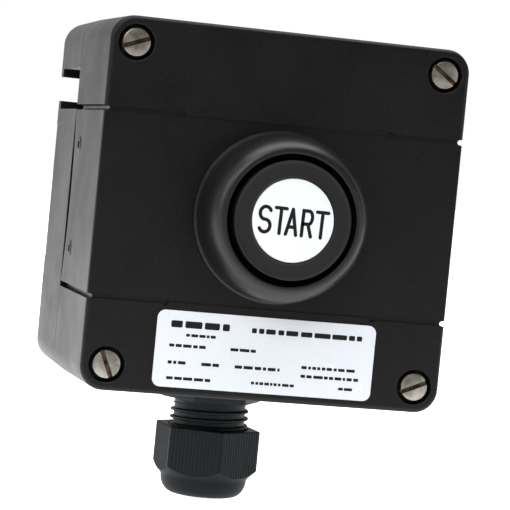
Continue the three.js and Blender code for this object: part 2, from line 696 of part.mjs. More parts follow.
const BLACK = { color: 0x17181a, roughness: 0.6, metalness: 0 };
const COLLAR_BLACK = { color: 0x1b1c1d, roughness: 0.4, metalness: 0 };
const GREY_BLACK = { color: 0x2b2f33, roughness: 0.5, metalness: 0 };
const RUBBER = { color: 0x101010, roughness: 0.85, metalness: 0 };
const STEEL = { color: 0xa9a59c, roughness: 0.35, metalness: 1 };
const BRASS = { color: 0xb08d4c, roughness: 0.35, metalness: 1 };
const SILVER = { color: 0xc9c9c6, roughness: 0.3, metalness: 1 };
const LABEL_WHITE = { color: 0xdfe3ea, roughness: 0.35, metalness: 0 };
const DISC_WHITE = { color: 0xf2f2f0, roughness: 0.4, metalness: 0 };
const BLOCK_GREY = { color: 0x8d9093, roughness: 0.5, metalness: 0 };
const CREAM = { color: 0xd9d4c4, roughness: 0.5, metalness: 0 };

function piece(name, shape, finish) {
  const geometry = shape.isBufferGeometry ? shape : geometryOf(shape);
  const mesh = new THREE.Mesh(geometry, new THREE.MeshStandardMaterial(finish));
  mesh.name = name;
  return mesh;
}

function place(object, x, y, z) {
  object.position.set(x, y, z);
  return object;
}

const station = new THREE.Group();
station.rotation.x = Math.PI / 2; // box frame to part frame: +y becomes +Z, and +z becomes -Y
station.add(
  piece("rear_housing", rearHousing(), BLACK),
  piece("front_cover", frontCover(), BLACK),
  piece("cover_gasket", coverGasket(), RUBBER),
);

for (const [name, { x, y }] of Object.entries(screwPlaces)) {
  const headSeat = BOX_DEPTH - 0.25 - SCREW.headHeight;
  const screw = place(piece(`cover_screw_${name}`, coverScrew(), STEEL), x, y, headSeat);
  screw.rotation.z = THREE.MathUtils.degToRad(SCREW_TURNS[name]);
  const seal = ring(SCREW.shank + 0.35, 3.75, -1.1, -0.2, 18);
  const insertTop = SEAM_Z - 0.5;
  const insert = ring(INSERT.bore, INSERT.radius, insertTop - INSERT.length, insertTop, 18);
  station.add(
    screw,
    place(piece(`screw_seal_${name}`, seal, RUBBER), x, y, headSeat),
    place(piece(`threaded_insert_${name}`, insert, BRASS), x, y, 0),
  );
}

const labelShape = roundedRectangle(LABEL.width / 2, LABEL.height / 2, LABEL.radius);
const label = piece("rating_label", plate(labelShape, 0.06, 0.06 + LABEL.thickness), LABEL_WHITE);

const lockNutRear = -COVER_WALL - CLEARANCE - LOCK_NUT.thickness;
const collarSeal = ring(COLLAR_GASKET.inner, COLLAR_GASKET.outer, -0.15, COLLAR_GASKET.top, 32);
const button = place(new THREE.Group(), 0, 0, BOX_DEPTH);
button.add(
  place(label, 0, LABEL.y, 0),
  piece("button_collar", collar(), COLLAR_BLACK),
  piece("collar_gasket", collarSeal, RUBBER),
  place(piece("collar_lock_nut", collarLockNut(), GREY_BLACK), 0, 0, lockNutRear),
  piece("button_cap", cap(), COLLAR_BLACK),
  piece("legend_disc", legendDisc(), DISC_WHITE),
  piece("button_stem", stem(), GREY_BLACK),
  piece("sealing_boot", sealingBoot(), RUBBER),
  piece("return_spring", coilSpring(RETURN_SPRING), STEEL),
);

const blockGroup = new THREE.Group();
const bridge = new THREE.BoxGeometry(BRIDGE.width, BRIDGE.length, STRIP);
const bridgeZ = BRIDGE_FRONT - STRIP / 2;
blockGroup.add(
  piece("contact_block_adapter", blockAdapter(), GREY_BLACK),
  piece("contact_block_housing", blockHousing(), BLOCK_GREY),
  piece("contact_block_cover", blockCover(), BLOCK_GREY),
  piece("contact_plunger", contactPlunger(), CREAM),
  piece("contact_spring", coilSpring(CONTACT_SPRING), STEEL),
  place(piece("bridge_normally_open", bridge, SILVER), -CONTACT_X, 0, bridgeZ),
  place(piece("bridge_normally_closed", bridge, SILVER), CONTACT_X, 0, bridgeZ),
);
// The plunger moves towards the wall. The closed pair lies in front of its bridge, and the open pair
// behind it by the button's travel.
const pairs = {
  no: { x: -CONTACT_X, z: BRIDGE_FRONT - 2 * STRIP - BUTTON_TRAVEL - CLEARANCE },
  nc: { x: CONTACT_X, z: BRIDGE_FRONT + CLEARANCE },
};
for (const [name, { x, z }] of Object.entries(pairs)) {
  for (const [level, side] of [["upper", 1], ["lower", -1]]) {
    const screw = piece(`terminal_screw_${name}_${level}`, terminalScrew(), STEEL);
    blockGroup.add(
      place(piece(`fixed_contact_${name}_${level}`, fixedContact(z, side), BRASS), x, 0, 0),
      place(screw, x, side * TERMINAL_Y, FIXED_CONTACT.terminalZ - CLEARANCE),
    );
  }
}

const earth = place(new THREE.Group(), EARTH.x, EARTH.y, 0);
earth.add(
  piece("earth_terminal_plate", earthPlate(), BRASS),
  piece("earth_clamp_washer", earthWasher(), STEEL),
  piece("earth_terminal_screw", earthScrew(), STEEL),
);

const gland = place(new THREE.Group(), 0, 0, GLAND_Z);
gland.rotation.x = Math.PI / 2; // its z points down the gland's axis
gland.add(
  piece("gland_body", glandBody(), GREY_BLACK),
  piece("gland_flange_seal", sealRing(FLANGE_SEAL), RUBBER),
  piece("gland_lock_nut", glandLockNut(), GREY_BLACK),
  piece("gland_seal", sealRing(GLAND_SEAL), RUBBER),
  piece("gland_thrust_ring", thrustRing(), GREY_BLACK),
  piece("gland_nut", glandNut(), GREY_BLACK),
);

station.add(button, blockGroup, earth, gland);

const pushButtonStation = new THREE.Group();
pushButtonStation.add(station);

export default pushButtonStation;
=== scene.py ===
"""Looks of the push button station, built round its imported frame.

Shapes are drawn in millimetres in the box frame: x right, y up and z out of the wall, with the origin at the
centre of the rear mounting face. BOX_FRAME puts them into the frame's metres, where +Z is up and the front
faces -Y. The gland is drawn in its own frame, with z pointing down its axis.
"""

import math
import random

import bmesh
import bpy
from mathutils import Matrix, Vector


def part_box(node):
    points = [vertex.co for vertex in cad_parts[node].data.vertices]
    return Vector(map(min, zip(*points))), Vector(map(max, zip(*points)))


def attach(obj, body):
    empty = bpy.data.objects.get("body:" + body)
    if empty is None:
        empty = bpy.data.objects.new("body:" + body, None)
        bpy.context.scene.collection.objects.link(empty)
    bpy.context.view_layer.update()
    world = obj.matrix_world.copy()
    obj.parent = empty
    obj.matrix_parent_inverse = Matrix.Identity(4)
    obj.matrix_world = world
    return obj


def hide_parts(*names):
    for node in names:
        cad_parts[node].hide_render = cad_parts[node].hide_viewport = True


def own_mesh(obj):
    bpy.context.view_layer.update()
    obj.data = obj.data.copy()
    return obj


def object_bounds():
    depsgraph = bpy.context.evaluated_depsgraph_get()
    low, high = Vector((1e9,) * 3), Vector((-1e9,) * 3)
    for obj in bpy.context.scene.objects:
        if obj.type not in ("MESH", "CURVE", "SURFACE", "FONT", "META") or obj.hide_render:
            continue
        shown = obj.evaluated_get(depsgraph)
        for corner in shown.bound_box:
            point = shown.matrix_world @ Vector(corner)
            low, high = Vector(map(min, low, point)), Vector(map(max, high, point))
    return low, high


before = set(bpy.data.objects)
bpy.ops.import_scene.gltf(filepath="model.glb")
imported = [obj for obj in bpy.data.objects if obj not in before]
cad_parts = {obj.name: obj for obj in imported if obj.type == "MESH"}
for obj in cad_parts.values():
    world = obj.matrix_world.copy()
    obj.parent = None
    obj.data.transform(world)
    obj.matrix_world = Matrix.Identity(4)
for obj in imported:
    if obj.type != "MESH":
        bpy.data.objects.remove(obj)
cad_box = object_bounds()
scene = bpy.context.scene

MM = 0.001
BOX_FRAME = Matrix(((MM, 0, 0, 0), (0, 0, -MM, 0), (0, MM, 0, 0), (0, 0, 0, 1)))
CORNERS = ("top_left", "top_right", "bottom_left", "bottom_right")


def reach(node):
    """Lowest and highest corner of a CAD node in the box frame, in millimetres."""
    low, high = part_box(node)
    return Vector((low.x, low.z, -high.y)) / MM, Vector((high.x, high.z, -low.y)) / MM


# ---- Sizes, some read from the frame and the rest given here -------------------------------------

FACE = reach("front_cover")[1].z  # height of the front face above the wall
COVER_RIM = reach("front_cover")[0].z
HOUSING_RIM = reach("rear_housing")[1].z
SEAM_HALF = reach("front_cover")[1].y
FACE_HALF = SEAM_HALF - 0.35
BACK_HALF = SEAM_HALF - 0.15
CORNER_RADIUS = 6.0
FLOOR = 4.5  # thickness of the rear wall
COVER_WALL = 4.0
CHAMBER_HALF = 42.0
PLAIN_CORNER = 32.3
SLOT_CORNER = (30.3, 18.3)
ZONE_HALF = 23.0
ZONE_RECESS = 0.35
GROOVE = 1.4
CHANNEL_LENGTH = 19.5
ARCH_HALF_SPAN = 22.0
ARCH_RISE = 3.0
ARCH_DEPTH = 1.2
COUNTERBORE = 4.4
COUNTERBORE_DEPTH = 4.15
COLLAR_TOP = 14.2  # heights of the button's pieces are above the front face
COLLAR_BORE = 16.15
CAP_TOP = 15.2
CAP_RADIUS = 14.55
GLAND_END = 67.1  # places in the gland are distances below the box's centre
GLAND_BORE = 6.8
THREAD_CREST = 10.65
THREAD_ROOT = 9.7
THREAD_PITCH = 2.1
GLAND_DEPTH = (reach("gland_nut")[0].z + reach("gland_nut")[1].z) / 2
GLAND_FRAME = BOX_FRAME @ Matrix(((1, 0, 0, 0), (0, 0, -1, 0), (0, 1, 0, GLAND_DEPTH), (0, 0, 0, 1)))
BUTTON_FRAME = BOX_FRAME @ Matrix.Translation((0, 0, FACE))


def middle(node):
    low, high = reach(node)
    return (low + high) / 2


# ---- Mesh helpers --------------------------------------------------------------------------------


def finish_mesh(piece, sharp_degrees=32):
    """Smooth shading, with the edges sharper than the given angle kept crisp."""
    mesh = piece.data
    bm = bmesh.new()
    bm.from_mesh(mesh)
    bmesh.ops.remove_doubles(bm, verts=bm.verts, dist=1e-7)
    bmesh.ops.recalc_face_normals(bm, faces=bm.faces)
    limit = math.radians(sharp_degrees)
    for face in bm.faces:
        face.smooth = True
    for edge in bm.edges:
        edge.smooth = edge.calc_face_angle(0.0) < limit
    bm.to_mesh(mesh)
    bm.free()
    return piece


def new_piece(name, vertices, faces, space=BOX_FRAME):
    mesh = bpy.data.meshes.new(name)
    mesh.from_pydata([tuple(v) for v in vertices], [], faces)
    mesh.transform(space)
    piece = bpy.data.objects.new(name, mesh)
    scene.collection.objects.link(piece)
    return finish_mesh(piece)


def dress(piece, material, body, slot, *nodes):
    """Gives a piece its material and its body, and hides the CAD nodes that it stands for. The slot is not
    used.
    """
    piece.data.materials.clear()
    piece.data.materials.append(material)
    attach(piece, body)
    if nodes:
        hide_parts(*nodes)
    return piece


def rounded(profile, radius, steps=4, closed=False):
    """A profile with an arc-like curve at each corner. A corner may bring its own radius as a third value."""
    points = [Vector(p[:2]) for p in profile]
    own = [p[2] if len(p) > 2 else radius for p in profile]
    out = []
    count = len(points)
    for i, corner in enumerate(points):
        if not closed and i in (0, count - 1):
            out.append(corner)
            continue
        before, after = points[i - 1], points[(i + 1) % count]
        room = 0.45 * min((before - corner).length, (after - corner).length)
        r = min(own[i], room)
        if r < 1e-4:
            out.append(corner)
            continue
        start = corner + (before - corner).normalized() * r
        end = corner + (after - corner).normalized() * r
        for step in range(steps + 1):
            t = step / steps
            out.append(start.lerp(corner, t).lerp(corner.lerp(end, t), t))
    return out


def turned(name, profile, segments=96, closed=False, space=BOX_FRAME, at=(0, 0)):
    """A profile of (radius, z) points turned about the z axis, at a place in x and y."""
    vertices, rings = [], []
    for radius, z in profile:
        if radius < 1e-6:
            rings.append([len(vertices)] * segments)
            vertices.append((at[0], at[1], z))
            continue
        rings.append([len(vertices) + i for i in range(segments)])
        for i in range(segments):
            angle = 2 * math.pi * i / segments
            vertices.append((at[0] + radius * math.cos(angle), at[1] + radius * math.sin(angle), z))
    faces = []
    pairs = list(zip(rings, rings[1:]))
    if closed:
        pairs.append((rings[-1], rings[0]))
    for low, high in pairs:
        for i in range(segments):
            j = (i + 1) % segments
            loop = list(dict.fromkeys((low[i], low[j], high[j], high[i])))
            if len(loop) > 2:
                faces.append(loop)
    return new_piece(name, vertices, faces, space)


def lofted(name, sections, space=BOX_FRAME):
    """A closed skin over outlines with equal counts of points, each given as (z, [(x, y), ...])."""
    count = len(sections[0][1])
    vertices = [(x, y, z) for z, outline in sections for x, y in outline]
    faces = [list(reversed(range(count))), [(len(sections) - 1) * count + i for i in range(count)]]
    for level in range(len(sections) - 1):
        low, high = level * count, (level + 1) * count
        for i in range(count):
            j = (i + 1) % count
            faces.append((low + i, low + j, high + j, high + i))
    return new_piece(name, vertices, faces, space)


def prism(name, outline, z0, z1, space=BOX_FRAME):
    return lofted(name, [(z0, outline), (z1, outline)], space)


def rounded_square(half_x, half_y, radius, steps=12):
    outline = []
    for quarter in range(4):
        cx = (half_x - radius) * (1 if quarter in (0, 3) else -1)
        cy = (half_y - radius) * (1 if quarter in (0, 1) else -1)
        for step in range(steps + 1):
            angle = (quarter + step / steps) * math.pi / 2
            outline.append((cx + radius * math.cos(angle), cy + radius * math.sin(angle)))
    return outline


def circle(radius, x=0.0, y=0.0, segments=64):
    angles = [2 * math.pi * i / segments for i in range(segments)]
    return [(x + radius * math.cos(a), y + radius * math.sin(a)) for a in angles]


def hexagon(flats, first_degrees, radius=0.4, steps=3):
    corner = flats / math.sqrt(3)
    angles = [math.radians(first_degrees + 60 * i) for i in range(6)]
    points = [(corner * math.cos(a), corner * math.sin(a)) for a in angles]
    return [tuple(p) for p in rounded(points, radius, steps, closed=True)]


def bar(x0, x1, y0, y1):
    return [(x0, y0), (x1, y0), (x1, y1), (x0, y1)]


def side_slot(side, inner_x, y, half_width, steps=12):
    """Outline of a slot with a round end, open at the box's side (-1 left, 1 right)."""
    outer = side * (SEAM_HALF + 2)
    outline = [(outer, y + side * half_width)]
    for step in range(steps + 1):
        angle = math.pi * step / steps + (math.pi / 2 if side > 0 else -math.pi / 2)
        outline.append((side * inner_x + half_width * math.cos(angle), y + half_width * math.sin(angle)))
    outline.append((outer, y - side * half_width))
    return outline


def boolean(piece, tools, operation="DIFFERENCE"):
    """Cuts or joins the tools, one after the other, and removes them."""
    for tool in tools:
        modifier = piece.modifiers.new("boolean", "BOOLEAN")
        modifier.operation = operation
        modifier.solver = "MANIFOLD"
        modifier.object = tool
        apply_modifiers(piece)
        bpy.data.objects.remove(tool)
    return piece


def apply_modifiers(piece):
    graph = bpy.context.evaluated_depsgraph_get()
    mesh = bpy.data.meshes.new_from_object(piece.evaluated_get(graph))
    piece.modifiers.clear()
    piece.data = mesh


def soften(piece, width, segments=2, degrees=38):
    """Joins flat faces that lie in one plane, then rounds the sharp edges by a width in millimetres."""
    bm = bmesh.new()
    bm.from_mesh(piece.data)
    bmesh.ops.remove_doubles(bm, verts=bm.verts, dist=2e-6)
    bmesh.ops.dissolve_limit(bm, angle_limit=math.radians(0.6), verts=bm.verts, edges=bm.edges)
    bm.to_mesh(piece.data)
    bm.free()
    modifier = piece.modifiers.new("bevel", "BEVEL")
    modifier.width = width * MM
    modifier.segments = segments
    modifier.limit_method = "ANGLE"
    modifier.angle_limit = math.radians(degrees)
    modifier.use_clamp_overlap = True
    modifier.miter_outer = "MITER_ARC"
    apply_modifiers(piece)
    finish_mesh(piece)
    return flatten_shading(piece)


def flatten_shading(piece):
    """Normals that follow the large faces, so that flat faces shade flat right up to their rounded edges."""
    modifier = piece.modifiers.new("normals", "WEIGHTED_NORMAL")
    modifier.keep_sharp = True
    modifier.weight = 60
    apply_modifiers(piece)
    return piece


def refined(node, width, material, body, slot):
    """A CAD node's own shape with its edges rounded."""
    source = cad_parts[node]
    piece = bpy.data.objects.new("fine_" + node, source.data.copy())
    scene.collection.objects.link(piece)
    soften(piece, width)
    return dress(piece, material, body, slot, node)


# ---- Materials -----------------------------------------------------------------------------------


def new_material(name, colour, roughness, metallic=0.0, specular=0.5):
    material = bpy.data.materials.new(name)
    material.use_nodes = True
    shader = material.node_tree.nodes["Principled BSDF"]
    shader.inputs["Base Color"].default_value = (*colour, 1)
    shader.inputs["Roughness"].default_value = roughness
    shader.inputs["Metallic"].default_value = metallic
    shader.inputs["Specular IOR Level"].default_value = specular
    return material, material.node_tree, shader


def object_noise(tree, scale, detail=3.0, roughness=0.55, stretch=(1, 1, 1)):
    """Noise fixed to the object, with its features about 1/scale metres wide."""
    place = tree.nodes.new("ShaderNodeTexCoord")
    mapping = tree.nodes.new("ShaderNodeMapping")
    mapping.inputs["Scale"].default_value = stretch
    noise = tree.nodes.new("ShaderNodeTexNoise")
    noise.inputs["Scale"].default_value = scale
    noise.inputs["Detail"].default_value = detail
    noise.inputs["Roughness"].default_value = roughness
    tree.links.new(place.outputs["Object"], mapping.inputs["Vector"])
    tree.links.new(mapping.outputs["Vector"], noise.inputs["Vector"])
    return noise.outputs["Fac"]


def ramp(tree, value, stops):
    """A colour ramp through (position, colour) stops. A single number stands for a grey."""
    node = tree.nodes.new("ShaderNodeValToRGB")
    elements = node.color_ramp.elements
    for i, (position, colour) in enumerate(stops):
        element = elements[i] if i < 2 else elements.new(position)
        element.position = position
        element.color = (*colour, 1) if isinstance(colour, tuple) else (colour, colour, colour, 1)
    tree.links.new(value, node.inputs["Fac"])
    return node.outputs["Color"]


def bump(tree, shader, height, distance, strength=1.0):
    node = tree.nodes.new("ShaderNodeBump")
    node.inputs["Distance"].default_value = distance
    node.inputs["Strength"].default_value = strength
    tree.links.new(height, node.inputs["Height"])
    previous = shader.inputs["Normal"].links
    if previous:
        tree.links.new(previous[0].from_socket, node.inputs["Normal"])
    tree.links.new(node.outputs["Normal"], shader.inputs["Normal"])


def moulded(name, dark, light, roughness, grain, depth, specular=0.5):
    """Moulded plastic: a grained skin whose colour and gloss drift slightly over the surface."""
    material, tree, shader = new_material(name, dark, roughness[0], specular=specular)
    fine = object_noise(tree, grain, detail=2.0)
    drift = object_noise(tree, 55, detail=4.0)
    tree.links.new(ramp(tree, fine, [(0.3, dark), (0.75, light)]), shader.inputs["Base Color"])
    tree.links.new(ramp(tree, drift, [(0.3, roughness[0]), (0.7, roughness[1])]), shader.inputs["Roughness"])
    bump(tree, shader, fine, depth)
    return material


def metal(name, dark, light, roughness, grain, stretch=(1, 1, 1), depth=2e-6):
    """Worked metal with fine tool marks and slightly uneven tarnish."""
    material, tree, shader = new_material(name, light, roughness[0], metallic=1.0)
    marks = object_noise(tree, grain, detail=3.0, stretch=stretch)
    tarnish = object_noise(tree, 420, detail=5.0)
    tree.links.new(ramp(tree, tarnish, [(0.35, dark), (0.6, light)]), shader.inputs["Base Color"])
    tree.links.new(ramp(tree, marks, [(0.3, roughness[0]), (0.7, roughness[1])]), shader.inputs["Roughness"])
    bump(tree, shader, marks, depth)
    return material


ENCLOSURE = moulded(
    "enclosure_black", (0.0012, 0.0012, 0.0011), (0.0056, 0.0056, 0.0053), (0.36, 0.48), 2300, 2.2e-5, 0.21,
)
GUARD = moulded(
    "button_black", (0.0034, 0.0035, 0.0034), (0.005, 0.0051, 0.0049), (0.34, 0.4), 5200, 5e-6, 0.42,
)
CAP = moulded("cap_black", (0.0045, 0.005, 0.0043), (0.0064, 0.007, 0.0062), (0.44, 0.52), 5200, 6e-6, 0.31)
GLAND = moulded(
    "gland_grey", (0.007, 0.0092, 0.011), (0.0105, 0.0132, 0.0155), (0.44, 0.54), 3800, 6e-6, 0.14,
)
RUBBER = moulded("rubber_black", (0.008, 0.008, 0.008), (0.016, 0.016, 0.016), (0.75, 0.88), 3200, 1.5e-5)
BLOCK = moulded("block_grey", (0.2, 0.21, 0.22), (0.25, 0.26, 0.27), (0.45, 0.55), 4200, 6e-6)
CREAM = moulded("plunger_cream", (0.6, 0.55, 0.42), (0.68, 0.62, 0.5), (0.4, 0.5), 4200, 5e-6)
DISC = moulded("disc_white", (0.7, 0.73, 0.745), (0.73, 0.76, 0.775), (0.32, 0.4), 3000, 3e-6)
FILM = moulded("label_white", (0.62, 0.645, 0.69), (0.65, 0.675, 0.72), (0.3, 0.38), 1800, 4e-6)
INK = moulded("printing_ink", (0.003, 0.003, 0.004), (0.006, 0.006, 0.007), (0.5, 0.6), 6000, 2e-6, 0.2)
STEEL = metal("steel", (0.19, 0.178, 0.15), (0.35, 0.335, 0.3), (0.3, 0.46), 900, (1, 1, 5))
BRASS = metal("brass", (0.42, 0.27, 0.1), (0.68, 0.48, 0.22), (0.24, 0.38), 1500)
SILVER = metal("contact_silver", (0.55, 0.55, 0.52), (0.8, 0.8, 0.78), (0.2, 0.34), 2000)
# Dark brown metal for the inside of the screw slots: painted shade in the slot recesses
SLOT_SHADE = metal("slot_painted_shade", (0.035, 0.022, 0.014), (0.13, 0.085, 0.055), (0.5, 0.7), 2600)

# ---- Enclosure -----------------------------------------------------------------------------------

screw_places = {corner: middle("cover_screw_" + corner) for corner in CORNERS}
SCREW_TURNS = {"top_left": 21, "top_right": -36, "bottom_left": -67, "bottom_right": 23}


def chamber_outline(offset, reach_mm):
    """Outline of the sealed chamber, grown outwards by an offset, with its corners rounded."""
    side = CHAMBER_HALF + offset
    plain = PLAIN_CORNER + offset
    slot_x, slot_y = SLOT_CORNER[0] + offset, SLOT_CORNER[1] + offset
    half = [(side, -slot_y), (side, plain), (plain, plain), (plain, side), (-slot_x, side), (-slot_x, slot_y)]
    corners = half + [(-x, -y) for x, y in half]
    return [tuple(p) for p in rounded(corners, reach_mm, 6, closed=True)]


def ring_prism(name, outer, inner, z0, z1):
    """A band between two outlines."""
    return boolean(prism(name, outer, z0, z1), [prism("hole", inner, z0 - 1, z1 + 1)])


def make_cover():
    sections = [(COVER_RIM, rounded_square(SEAM_HALF, SEAM_HALF, CORNER_RADIUS))]
    edge = 1.2
    for step in range(8):
        angle = step / 7 * math.pi / 2
        inset = edge * (1 - math.cos(angle))
        half = FACE_HALF - inset
        outline = rounded_square(half, half, CORNER_RADIUS - inset)
        sections.append((FACE - edge + edge * math.sin(angle), outline))
    cover = lofted("cover_shell", sections)
    tools = [prism("cut", chamber_outline(0, 3), COVER_RIM - 1, FACE - COVER_WALL)]
    zone = bar(-FACE_HALF - 3, FACE_HALF + 3, -ZONE_HALF, ZONE_HALF)
    tools.append(prism("cut", zone, FACE - ZONE_RECESS, FACE + 1))
    for side in (-1, 1):
        for y in (-ZONE_HALF, ZONE_HALF):
            groove = side_slot(side, FACE_HALF - GROOVE / 2, y, GROOVE / 2)
            channel = side_slot(side, FACE_HALF - CHANNEL_LENGTH, y, GROOVE * 0.36)
            dot = circle(0.95, side * (FACE_HALF - CHANNEL_LENGTH), y, 32)
            tools.append(prism("cut", groove, COVER_RIM - 1, FACE + 1))
            tools.append(prism("cut", channel, FACE - 0.55, FACE + 1))
            tools.append(prism("cut", dot, FACE - 0.7, FACE + 1))
        tools.append(seam_arch(side))
    tools.append(prism("cut", circle(15.2, segments=96), FACE - 6, FACE + 1))
    for place in screw_places.values():
        tools.append(prism("cut", circle(2.5, place.x, place.y, 32), COVER_RIM - 1, FACE + 1))
        tools.append(counterbore(place))
    boolean(cover, tools)
    bumps, slits = [], []
    for side in (-1, 1):
        for level in (-13.3, 13.3):
            centre = Vector((side * (SEAM_HALF - 0.15), level, COVER_RIM + 9.55))
            bumps.append(lens(centre, Vector((0.4, 2.3, 2.1))))
            slit = bar(centre.x - 0.9, centre.x + 0.9, level - 0.85, level + 0.85)
            slits.append(prism("cut", slit, centre.z - 1.1, centre.z + 1.1))
    boolean(cover, bumps, "UNION")
    boolean(cover, slits)
    soften(cover, 0.13)
    return dress(cover, ENCLOSURE, "front_cover", "enclosure_black", "front_cover")


def counterbore(place):
    """Tool for a screw's recess, with a soft lead-in at the face."""
    seat, lead, rim = FACE - COUNTERBORE_DEPTH, FACE - 0.4, FACE + 1
    profile = [(0, seat), (COUNTERBORE, seat), (COUNTERBORE, lead), (COUNTERBORE + 0.08, lead + 0.24)]
    profile += [(COUNTERBORE + 0.26, FACE), (COUNTERBORE + 0.26, rim), (0, rim)]
    return turned("cut", [Vector(p) for p in profile], 72, at=(place.x, place.y))


def lens(centre, half):
    """A low lens-shaped boss."""
    vertices, faces = [], []
    around, down = 32, 12
    for i in range(down + 1):
        polar = math.pi * i / down
        for j in range(around):
            turn = 2 * math.pi * j / around
            ring = math.sin(polar)
            unit = Vector((ring * math.cos(turn), math.cos(polar), ring * math.sin(turn)))
            vertices.append(centre + Vector((unit.x * half.x, unit.y * half.y, unit.z * half.z)))
    for i in range(down):
        for j in range(around):
            k = (j + 1) % around
            low, high = i * around, (i + 1) * around
            faces.append((low + j, high + j, high + k, low + k))
    return new_piece("lens", vertices, faces)


def seam_arch(side):
    """Tool for the shallow arch that the cover's rear edge makes between its grooves."""
    steps = 20
    outline = [(-ARCH_HALF_SPAN, COVER_RIM - 1), (ARCH_HALF_SPAN, COVER_RIM - 1)]
    for step in range(steps + 1):
        along = 1 - 2 * step / steps
        outline.append((ARCH_HALF_SPAN * along, COVER_RIM + ARCH_RISE * (1 - along ** 2)))
    x0 = side * (SEAM_HALF - ARCH_DEPTH)
    x1 = side * (SEAM_HALF + 0.6)
    vertices = [(x, y, z) for x in (x0, x1) for y, z in outline]
    count = len(outline)
    faces = [list(range(count)), list(reversed(range(count, 2 * count)))]
    for i in range(count):
        j = (i + 1) % count
        faces.append((i, j, count + j, count + i))
    return new_piece("arch", vertices, faces)


def make_housing():
    sections = []
    for z, half, radius in (
        (0, BACK_HALF - 0.8, CORNER_RADIUS - 0.6), (0.1, BACK_HALF - 0.42, CORNER_RADIUS - 0.35),
        (0.35, BACK_HALF - 0.15, CORNER_RADIUS - 0.12), (0.9, BACK_HALF, CORNER_RADIUS),
        (HOUSING_RIM, SEAM_HALF, CORNER_RADIUS),
    ):
        sections.append((z, rounded_square(half, half, radius)))
    housing = lofted("housing_shell", sections)
    tools = [prism("cut", chamber_outline(0, 3), FLOOR, HOUSING_RIM + 1)]
    for side in (-1, 1):
        panel_wall = side * (SEAM_HALF - 0.35)
        outside = side * (SEAM_HALF + 1)
        panel = [(panel_wall, -17.6), (outside, -26), (outside, 26), (panel_wall, 17.6)]
        tools.append(prism("cut", panel, -1, HOUSING_RIM - 2))
        y = -side * 27.9
        pocket = bar(side * 34.2, side * (SEAM_HALF + 2), y - 5.4, y + 5.4)
        tools.append(prism("cut", pocket, FLOOR, HOUSING_RIM + 1))
        tools.append(prism("cut", side_slot(side, 39, y, 3.25, 24), -1, FLOOR + 1))
    groove_outer, groove_inner = chamber_outline(3.1, 4.5), chamber_outline(0.9, 3.4)
    tools.append(ring_prism("cut", groove_outer, groove_inner, HOUSING_RIM - 2, HOUSING_RIM + 1))
    for place in screw_places.values():
        tools.append(prism("cut", circle(3.3, place.x, place.y, 48), HOUSING_RIM - 8.7, HOUSING_RIM + 1))
        tools.append(prism("cut", circle(2.5, place.x, place.y, 32), 10, HOUSING_RIM))
    entry = prism("cut", circle(10.3, 0, 0, 64), SEAM_HALF - 8, SEAM_HALF + 4, GLAND_FRAME)
    boolean(housing, tools + [entry])
    earth = middle("earth_terminal_plate")
    boss_profile = rounded([(0, FLOOR - 1), (4.5, FLOOR - 1), (4.5, 9), (0, 9)], 0.3)
    boss = turned("boss", boss_profile, 48, at=(earth.x, earth.y))
    boolean(housing, [boss], "UNION")
    boolean(housing, [prism("cut", circle(2.1, earth.x, earth.y, 32), FLOOR + 0.5, 10)])
    soften(housing, 0.13)
    return dress(housing, ENCLOSURE, "rear_housing", "enclosure_black", "rear_housing")


def make_gasket():
    low, high = reach("cover_gasket")
    z0, z1 = low.z, high.z
    gasket = ring_prism("gasket_cord", chamber_outline(2.8, 4.4), chamber_outline(1.2, 3.6), z0, z1)
    soften(gasket, 0.35, 3)
    return dress(gasket, RUBBER, "rear_housing", "rubber_black", "cover_gasket")


def make_screw(corner):
    """A cheese head screw with a slot, a chamfered head and a rolled thread on its lower half."""
    place = screw_places[corner]
    low, high = reach("cover_screw_" + corner)
    top = high.z
    under = top - 2.6
    pitch, shank = 0.7, 1.98
    profile = [(0, low.z), (shank - 0.65, low.z), (shank - 0.3, low.z + 0.5)]
    z = low.z + 0.7
    while z < low.z + 24:
        profile += [(shank, z), (shank, z + 0.1), (shank - 0.4, z + 0.35), (shank - 0.4, z + 0.42)]
        z += pitch
    profile += [(shank - 0.22, z + 0.6), (shank - 0.22, under), (3.5, under), (3.5, top, 0.42), (0, top)]
    screw = turned("screw_" + corner, rounded(profile, 0.05, 2), 72, at=(place.x, place.y))
    outline = [(-5, -0.55), (5, -0.55), (5, 0.55), (-5, 0.55)]
    turn = Matrix.Rotation(math.radians(SCREW_TURNS[corner]), 2)
    slot = [tuple(turn @ Vector(p) + Vector((place.x, place.y))) for p in outline]
    boolean(screw, [prism("cut", slot, top - 1.1, top + 1)])
    finish_mesh(screw, 28)
    dress(screw, STEEL, "cover_screw_" + corner, "steel", "cover_screw_" + corner)
    screw.data.materials.append(SLOT_SHADE)
    # The slot floor and the slot walls take the dark brown metal, painted shade inside the slot
    slot_floor = -(top - 1.1) * MM
    for face in screw.data.polygons:
        inside = abs(face.center.y - slot_floor) < 2e-5 and abs(face.normal.y) > 0.9
        wall = face.center.y > -(top - 0.1) * MM and face.center.y < slot_floor and abs(face.normal.y) < 0.2
        radius = Vector((face.center.x / MM - place.x, face.center.z / MM - place.y)).length
        if inside or (wall and radius < 3.2):
            face.material_index = 1
    return screw


# ---- Button --------------------------------------------------------------------------------------


